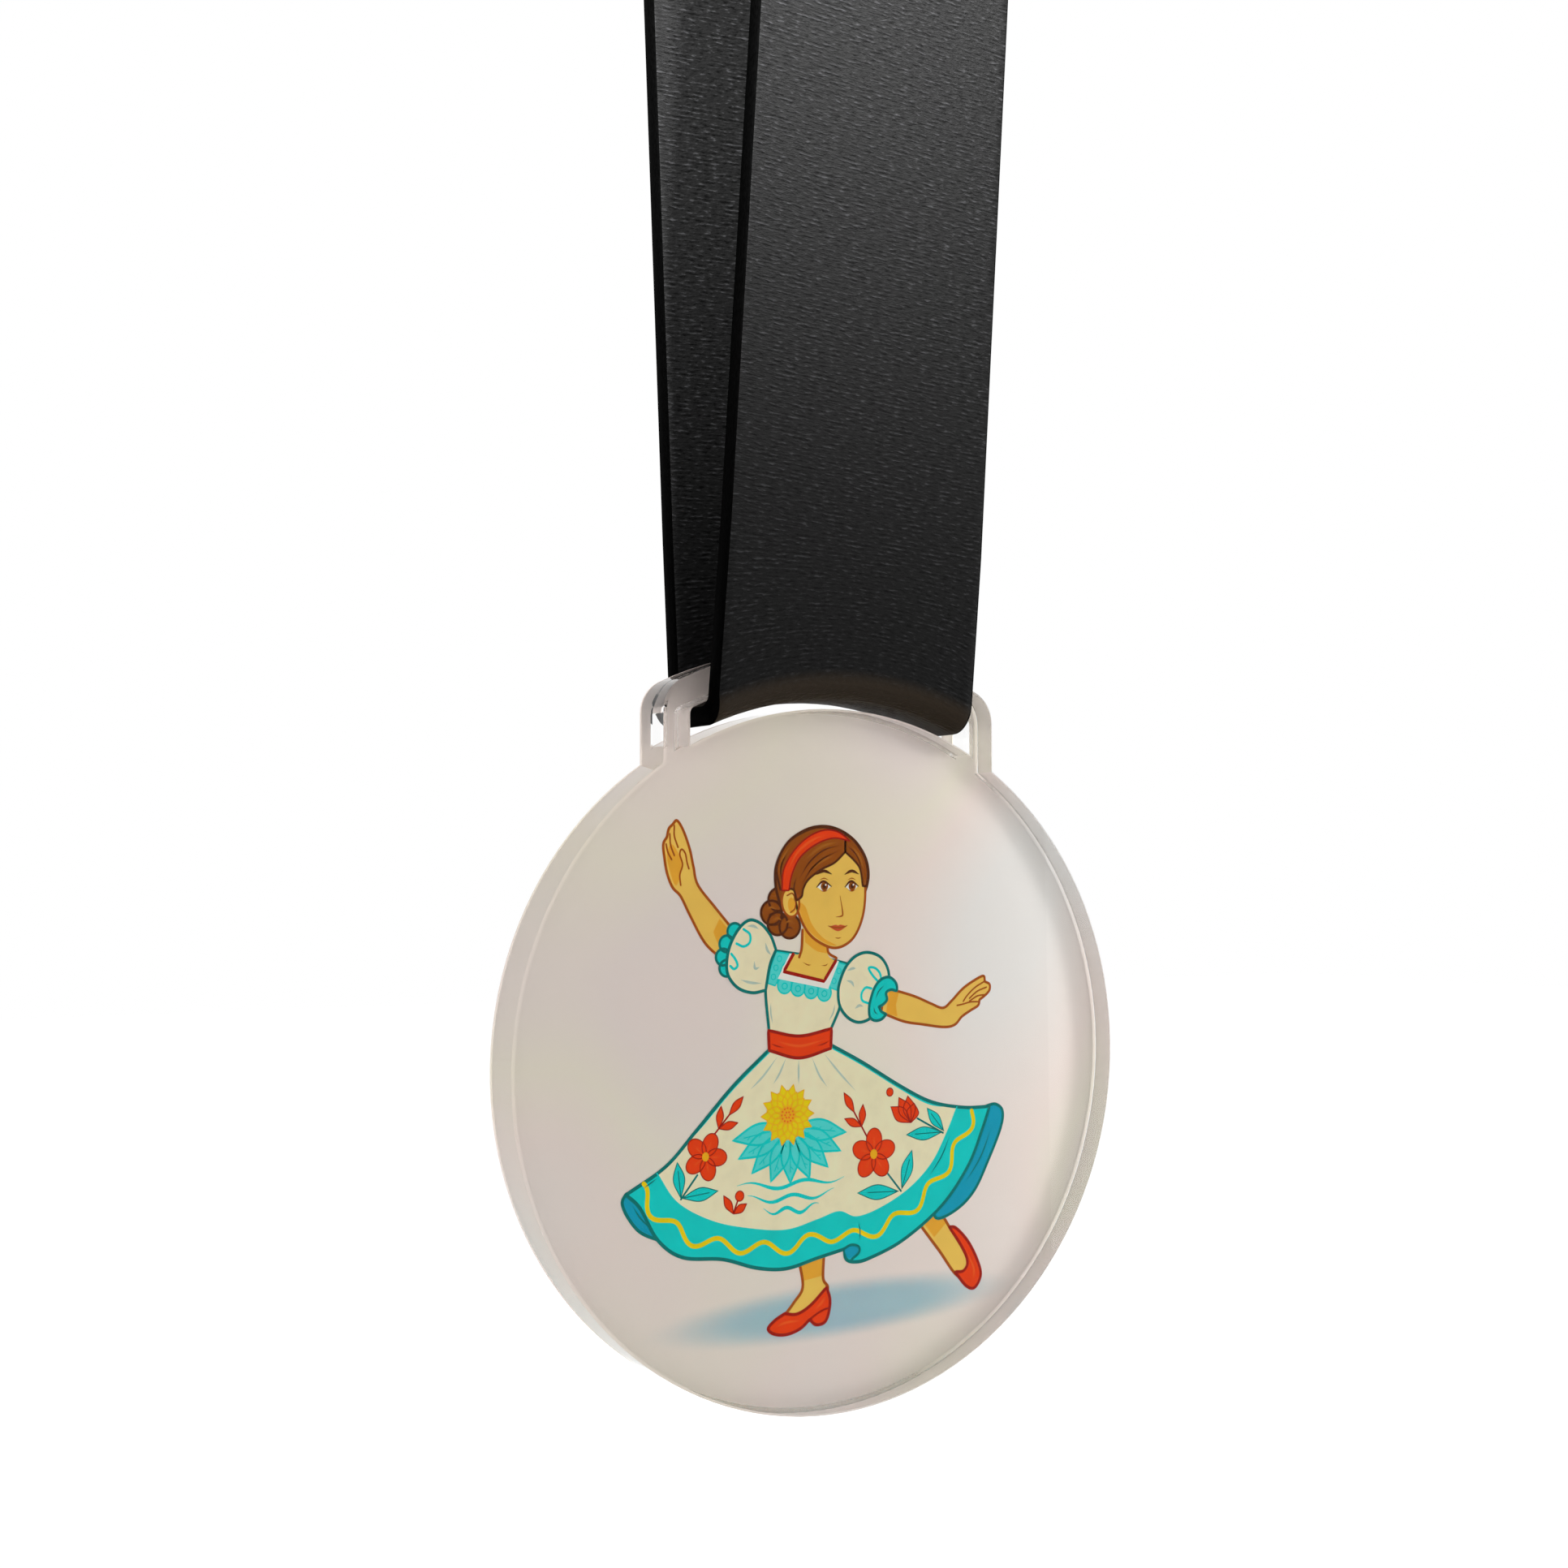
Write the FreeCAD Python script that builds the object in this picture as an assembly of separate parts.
"""Finisher medal: a clear acrylic disc with its own ribbon bracket, printed and silvered on the back.

Millimetres. Origin: the disc's centre on the outer face of the rear film.
+X is the viewer's right, +Y points out of the back, +Z points up along the ribbon.
"""
import math
import os

import FreeCAD
import Part

V = FreeCAD.Vector

# Acrylic plate
DISC_R = 35.0
PLATE_T = 5.0
EDGE_CHAMFER = 0.25

# Bracket, one piece with the disc
BAR_OUTER_R = 41.2
SLOT_TOP_R = 38.2
BRACKET_HALF_W = 19.4
SLOT_HALF_W = 16.5
BRACKET_CORNER_R = 3.5
SLOT_CORNER_R = 0.8

# Layers behind the plate, from the outer rear face forwards
FILM_T = 0.20
UNDERBASE_T = 0.05
INK_T = 0.05

# Pale ground ellipse of the print: centre (x, z), half sizes and tilt
GROUND_CENTRE = (2.0, -25.5)
GROUND_HALF_SIZE = (20.0, 2.4)
GROUND_TILT_DEG = 1.5

# Ribbon
RIBBON_W = 30.0
RIBBON_T = 2.0
RIBBON_FACE_GAP = 0.45
FOLD_INNER_R = 37.9
FOLD_CORNER_R = 2.8
FRONT_LEAN_DEG = 3.8
REAR_LEAN_DEG = 2.25
FOLD_REF_Z = 36.0
FRONT_X_AT_REF = 0.3
REAR_X_AT_REF = -0.1
FLEX_Z = 45.0
FLEX_HALF_GAP = 1.25
STRAP_TOP_Z = 130.0

# Sewn neck seam
LAP_END_Z = 112.0
THREAD_D = 0.45
STITCH_LENGTH = 2.2
STITCH_PITCH = 3.0
SEAM_MARGIN = 2.5

# Derived places along Y
FILM_FRONT_Y = -FILM_T
INK_BACK_Y = FILM_FRONT_Y - UNDERBASE_T
PLATE_BACK_Y = INK_BACK_Y - INK_T
PLATE_FRONT_Y = PLATE_BACK_Y - PLATE_T
FRONT_STRAP_BACK_Y = PLATE_FRONT_Y - RIBBON_FACE_GAP
FRONT_STRAP_FRONT_Y = FRONT_STRAP_BACK_Y - RIBBON_T
REAR_STRAP_FRONT_Y = RIBBON_FACE_GAP
REAR_STRAP_BACK_Y = REAR_STRAP_FRONT_Y + RIBBON_T


def line(a, b):
    """Straight edge between two (x, z) points."""
    return Part.makeLine(V(a[0], 0, a[1]), V(b[0], 0, b[1]))


def arc(a, middle, b):
    """Circular edge through three (x, z) points."""
    return Part.Arc(*[V(p[0], 0, p[1]) for p in (a, middle, b)]).toShape()


def slab(wire, y_low, y_high):
    """Extrude a closed outline in the XZ plane from y_low to y_high."""
    solid = Part.Face(wire).extrude(V(0, y_high - y_low, 0))
    solid.translate(V(0, y_low, 0))
    return solid


def block(x_low, x_high, y_low, y_high, z_low, z_high):
    """Box between two corners."""
    return Part.makeBox(x_high - x_low, y_high - y_low, z_high - z_low, V(x_low, y_low, z_low))


def cylinder_y(radius, y_low, y_high, x=0.0, z=0.0):
    """Cylinder along +Y."""
    return Part.makeCylinder(radius, y_high - y_low, V(x, y_low, z), V(0, 1, 0))


def on_circle(radius, x):
    """Point of the circle about the origin at x, on its upper half."""
    return (x, math.sqrt(radius ** 2 - x ** 2))


def mirrored(point):
    return (-point[0], point[1])


def arch_outline(half_width, top_r, corner_r, bottom_z):
    """Closed outline: flat bottom, two upright sides, an arched top and rounded top corners."""
    centre = on_circle(top_r - corner_r, half_width - corner_r)
    side = (half_width, centre[1])
    scale = top_r / (top_r - corner_r)
    shoulder = (centre[0] * scale, centre[1] * scale)
    turn = math.atan2(shoulder[1] - centre[1], shoulder[0] - centre[0]) / 2
    corner = (centre[0] + corner_r * math.cos(turn), centre[1] + corner_r * math.sin(turn))
    foot = (half_width, bottom_z)
    return Part.Wire([
        line(mirrored(foot), foot),
        line(foot, side),
        arc(side, corner, shoulder),
        arc(shoulder, (0, top_r), mirrored(shoulder)),
        arc(mirrored(shoulder), mirrored(corner), mirrored(side)),
        line(mirrored(side), mirrored(foot)),
    ])


def plate(y_low, y_high):
    """The medal's outline, with its slot, as a flat plate. The disc keeps a round face of its own."""
    disc = cylinder_y(DISC_R, y_low, y_high)
    bracket = slab(arch_outline(BRACKET_HALF_W, BAR_OUTER_R, BRACKET_CORNER_R, 0), y_low, y_high)
    slot = slab(arch_outline(SLOT_HALF_W, SLOT_TOP_R, SLOT_CORNER_R, 0), y_low, y_high)
    return disc.fuse(bracket.cut(slot).cut(disc))


def medal_body():
    solid = plate(PLATE_FRONT_Y, PLATE_BACK_Y).removeSplitter()
    rims = [e for e in solid.Edges
            if abs(e.BoundBox.YMin - e.BoundBox.YMax) < 1e-6]
    return solid.makeChamfer(EDGE_CHAMFER, rims)


def rear_film():
    return plate(FILM_FRONT_Y, 0.0)


def strap_outline(x_ref, lean_deg, z_low, z_high):
    """Leaning strip with level ends; x_ref is its centre at FOLD_REF_Z."""
    slope = math.tan(math.radians(lean_deg))
    half = RIBBON_W / 2 / math.cos(math.radians(lean_deg))
    x_low = x_ref + slope * (z_low - FOLD_REF_Z)
    x_high = x_ref + slope * (z_high - FOLD_REF_Z)
    corners = [(x_low - half, z_low), (x_low + half, z_low),
               (x_high + half, z_high), (x_high - half, z_high)]
    return Part.Wire([line(corners[i], corners[(i + 1) % 4]) for i in range(4)])


def front_strap():
    outline = strap_outline(FRONT_X_AT_REF, FRONT_LEAN_DEG, FLEX_Z + FLEX_HALF_GAP, STRAP_TOP_Z)
    return slab(outline, FRONT_STRAP_FRONT_Y, FRONT_STRAP_BACK_Y)


def rear_strap():
    outline = strap_outline(REAR_X_AT_REF, -REAR_LEAN_DEG, FLEX_Z + FLEX_HALF_GAP, STRAP_TOP_Z)
    return slab(outline, REAR_STRAP_FRONT_Y, REAR_STRAP_BACK_Y)


def loop_centre_x():
    """Middle of the ribbon where it turns over the top."""
    slope = math.tan(math.radians(FRONT_LEAN_DEG))
    top_x = FRONT_X_AT_REF + slope * (STRAP_TOP_Z - FOLD_REF_Z)
    return top_x + slope * math.pi * (loop_inner_r() + RIBBON_T / 2) / 2


def loop_inner_r():
    return (REAR_STRAP_BACK_Y - FRONT_STRAP_BACK_Y) / 2


def top_loop():
    """Half turn that carries the front strap over to the rear."""
    inner_r = loop_inner_r()
    y = FRONT_STRAP_BACK_Y + inner_r
    start = V(loop_centre_x() - RIBBON_W / 2, y, STRAP_TOP_Z)
    outer = Part.makeCylinder(inner_r + RIBBON_T, RIBBON_W, start, V(1, 0, 0))
    inner = Part.makeCylinder(inner_r, RIBBON_W, start, V(1, 0, 0))
    reach = inner_r + RIBBON_T
    below = block(start.x, start.x + RIBBON_W, y - reach, y + reach, STRAP_TOP_Z - reach, STRAP_TOP_Z)
    return outer.cut(inner).cut(below)


def seam_lap():
    """End of the ribbon, sewn over the rear strap."""
    x = loop_centre_x()
    outline = strap_outline(x + math.tan(math.radians(FRONT_LEAN_DEG)) * (STRAP_TOP_Z - FOLD_REF_Z),
                            -FRONT_LEAN_DEG, LAP_END_Z, STRAP_TOP_Z)
    return slab(outline, REAR_STRAP_BACK_Y, REAR_STRAP_BACK_Y + RIBBON_T)


def seam_area():
    """Left, right, bottom and top of the stitched overlap."""
    rear_x = REAR_X_AT_REF - math.tan(math.radians(REAR_LEAN_DEG)) * (LAP_END_Z - FOLD_REF_Z)
    left = loop_centre_x() - RIBBON_W / 2 + SEAM_MARGIN
    right = rear_x + RIBBON_W / 2 - SEAM_MARGIN
    return left, right, LAP_END_Z + SEAM_MARGIN, STRAP_TOP_Z - SEAM_MARGIN


def stitch(a, b, y):
    """One raised thread, a round-ended bar whose axis lies at y."""
    direction = V(b[0] - a[0], 0, b[1] - a[1])
    radius = THREAD_D / 2
    bar = Part.makeCylinder(radius, direction.Length, V(a[0], y, a[1]), direction)
    for end in (a, b):
        bar = bar.fuse(Part.makeSphere(radius, V(end[0], y, end[1])))
    return bar.removeSplitter()


def stitch_row(a, b, y):
    """Evenly spaced stitches from a to b."""
    span = math.hypot(b[0] - a[0], b[1] - a[1])
    count = max(1, round(span / STITCH_PITCH))
    direction = ((b[0] - a[0]) / span, (b[1] - a[1]) / span)
    inset = (span / count - STITCH_LENGTH) / 2
    row = []
    for i in range(count):
        start = i * span / count + inset
        ends = [(a[0] + direction[0] * s, a[1] + direction[1] * s) for s in (start, start + STITCH_LENGTH)]
        row.append(stitch(ends[0], ends[1], y))
    return row


def inset_row(a, b, y):
    """Row of stitches from a to b that stops half a pitch short of both."""
    span = math.hypot(b[0] - a[0], b[1] - a[1])
    step = ((b[0] - a[0]) / span * STITCH_PITCH / 2, (b[1] - a[1]) / span * STITCH_PITCH / 2)
    return stitch_row((a[0] + step[0], a[1] + step[1]), (b[0] - step[0], b[1] - step[1]), y)


def seam_stitching():
    """Thread of a boxed and crossed seam, on the lap's outer face and the rear strap's inner face."""
    left, right, bottom, top = seam_area()
    middle = ((left + right) / 2, (bottom + top) / 2)
    corners = [(left, bottom), (right, bottom), (right, top), (left, top)]
    threads = []
    for y in (REAR_STRAP_BACK_Y + RIBBON_T + THREAD_D / 2, REAR_STRAP_FRONT_Y - THREAD_D / 2):
        for i, corner in enumerate(corners):
            threads += inset_row(corner, corners[(i + 1) % 4], y)
            threads += inset_row(corner, middle, y)
    return Part.makeCompound(threads)


def ribbon_fold():
    """The ribbon where it passes through the slot and round the bar, up to the flex line."""
    top_z = FLEX_Z - FLEX_HALF_GAP
    half = RIBBON_W / 2
    outer_r = FOLD_INNER_R - RIBBON_T
    y_low, y_high = FRONT_STRAP_FRONT_Y, REAR_STRAP_BACK_Y
    outer = fold_block(half, y_low, y_high, top_z, outer_r, FOLD_CORNER_R)
    inner = fold_block(half, y_low + RIBBON_T, y_high - RIBBON_T, top_z, FOLD_INNER_R,
                       FOLD_CORNER_R - RIBBON_T)
    return outer.cut(inner)


def fold_block(half, y_low, y_high, top_z, under_r, corner_r):
    """Block over an arched underside, with its two long lower edges rounded."""
    solid = block(-half, half, y_low, y_high, 0, top_z).cut(cylinder_y(under_r, y_low, y_high))
    edges = [e for e in solid.Edges
             if isinstance(e.Curve, Part.Circle) and abs(e.Curve.Radius - under_r) < 1e-6]
    return solid.makeFillet(corner_r, edges)


def blob(points, y_low, y_high):
    """Closed smooth outline through hand-chosen (x, z) points."""
    curve = Part.BSplineCurve()
    curve.interpolate([V(x, 0, z) for x, z in points], PeriodicFlag=True)
    return slab(Part.Wire([curve.toShape()]), y_low, y_high)


def disc_patch(x, z, radius, y_low, y_high):
    return cylinder_y(radius, y_low, y_high, x, z)


def polygon(points, y_low, y_high):
    """Closed straight-sided outline."""
    count = len(points)
    return slab(Part.Wire([line(points[i], points[(i + 1) % count]) for i in range(count)]), y_low, y_high)


def dancer(y_low, y_high):
    """Outline of the printed dancer: head, bun, bodice, arms, skirt, legs and shoes."""
    pieces = [
        disc_patch(0.3, 18.0, 4.4, y_low, y_high),
        disc_patch(-4.6, 14.6, 1.9, y_low, y_high),
        polygon([(-1.8, 15.0), (1.8, 15.0), (1.8, 9.0), (-1.8, 9.0)], y_low, y_high),
        polygon([(-6.0, 10.6), (3.6, 10.6), (1.2, 2.0), (-6.2, 2.0)], y_low, y_high),
        disc_patch(-8.6, 10.4, 3.2, y_low, y_high),
        disc_patch(5.4, 7.6, 3.2, y_low, y_high),
        polygon([(-10.6, 11.6), (-12.4, 9.8), (-17.6, 16.2), (-17.4, 18.2), (-15.4, 18.0)], y_low, y_high),
        blob([(-17.6, 16.6), (-15.2, 18.0), (-16.4, 22.8), (-18.0, 23.4), (-19.0, 20.0)], y_low, y_high),
        polygon([(7.4, 8.6), (7.4, 5.2), (14.6, 3.6), (16.6, 4.8), (15.0, 6.2)], y_low, y_high),
        blob([(14.6, 4.2), (17.6, 4.2), (20.4, 7.4), (19.8, 8.4), (16.2, 6.6)], y_low, y_high),
        polygon([(-6.2, 2.4), (1.2, 2.4), (8.6, -2.2), (22.2, -5.8), (20.4, -13.0), (14.2, -18.4),
                 (4.6, -20.6), (-6.2, -20.8), (-16.6, -18.6), (-21.8, -13.4), (-15.4, -9.0)],
                y_low, y_high),
        polygon([(-1.8, -19.6), (1.4, -19.6), (0.9, -25.0), (-1.2, -25.0)], y_low, y_high),
        blob([(1.4, -22.8), (1.6, -25.8), (-1.6, -26.2), (-4.8, -27.0), (-2.4, -24.8)], y_low, y_high),
        polygon([(11.4, -17.6), (14.6, -17.2), (17.6, -20.6), (15.8, -21.6)], y_low, y_high),
        blob([(15.4, -19.8), (17.8, -19.0), (20.0, -23.2), (18.6, -24.0), (15.6, -22.0)], y_low, y_high),
    ]
    return pieces[0].multiFuse(pieces[1:]).removeSplitter()


def figure_print():
    return dancer(PLATE_BACK_Y, INK_BACK_Y)


def print_underbase():
    return dancer(INK_BACK_Y, FILM_FRONT_Y)


def ground_tint():
    """Flat ellipse of pale ink under the dancer, cut back from the shoes."""
    long_r, short_r = GROUND_HALF_SIZE
    curve = Part.Ellipse(V(0, 0, 0), long_r, short_r).toShape()
    curve.rotate(V(0, 0, 0), V(1, 0, 0), 90)
    curve.rotate(V(0, 0, 0), V(0, -1, 0), GROUND_TILT_DEG)
    curve.translate(V(GROUND_CENTRE[0], 0, GROUND_CENTRE[1]))
    return slab(Part.Wire([curve]), PLATE_BACK_Y, INK_BACK_Y).cut(figure_print())


PARTS = {
    "medal_body": medal_body,
    "rear_film": rear_film,
    "figure_print": figure_print,
    "print_underbase": print_underbase,
    "ground_tint": ground_tint,
    "ribbon_fold": ribbon_fold,
    "front_strap": front_strap,
    "rear_strap": rear_strap,
    "top_loop": top_loop,
    "seam_lap": seam_lap,
    "seam_stitching": seam_stitching,
}

os.makedirs("parts", exist_ok=True)
for name, build in PARTS.items():
    shape = build()
    box = shape.BoundBox
    print(f"{name}: valid {shape.isValid()}, {len(shape.Solids)} solids, {shape.Volume:.1f} mm3, "
          f"x {box.XMin:.2f}..{box.XMax:.2f}, y {box.YMin:.2f}..{box.YMax:.2f}, "
          f"z {box.ZMin:.2f}..{box.ZMax:.2f}")
    shape.exportStep(f"parts/{name}.step")
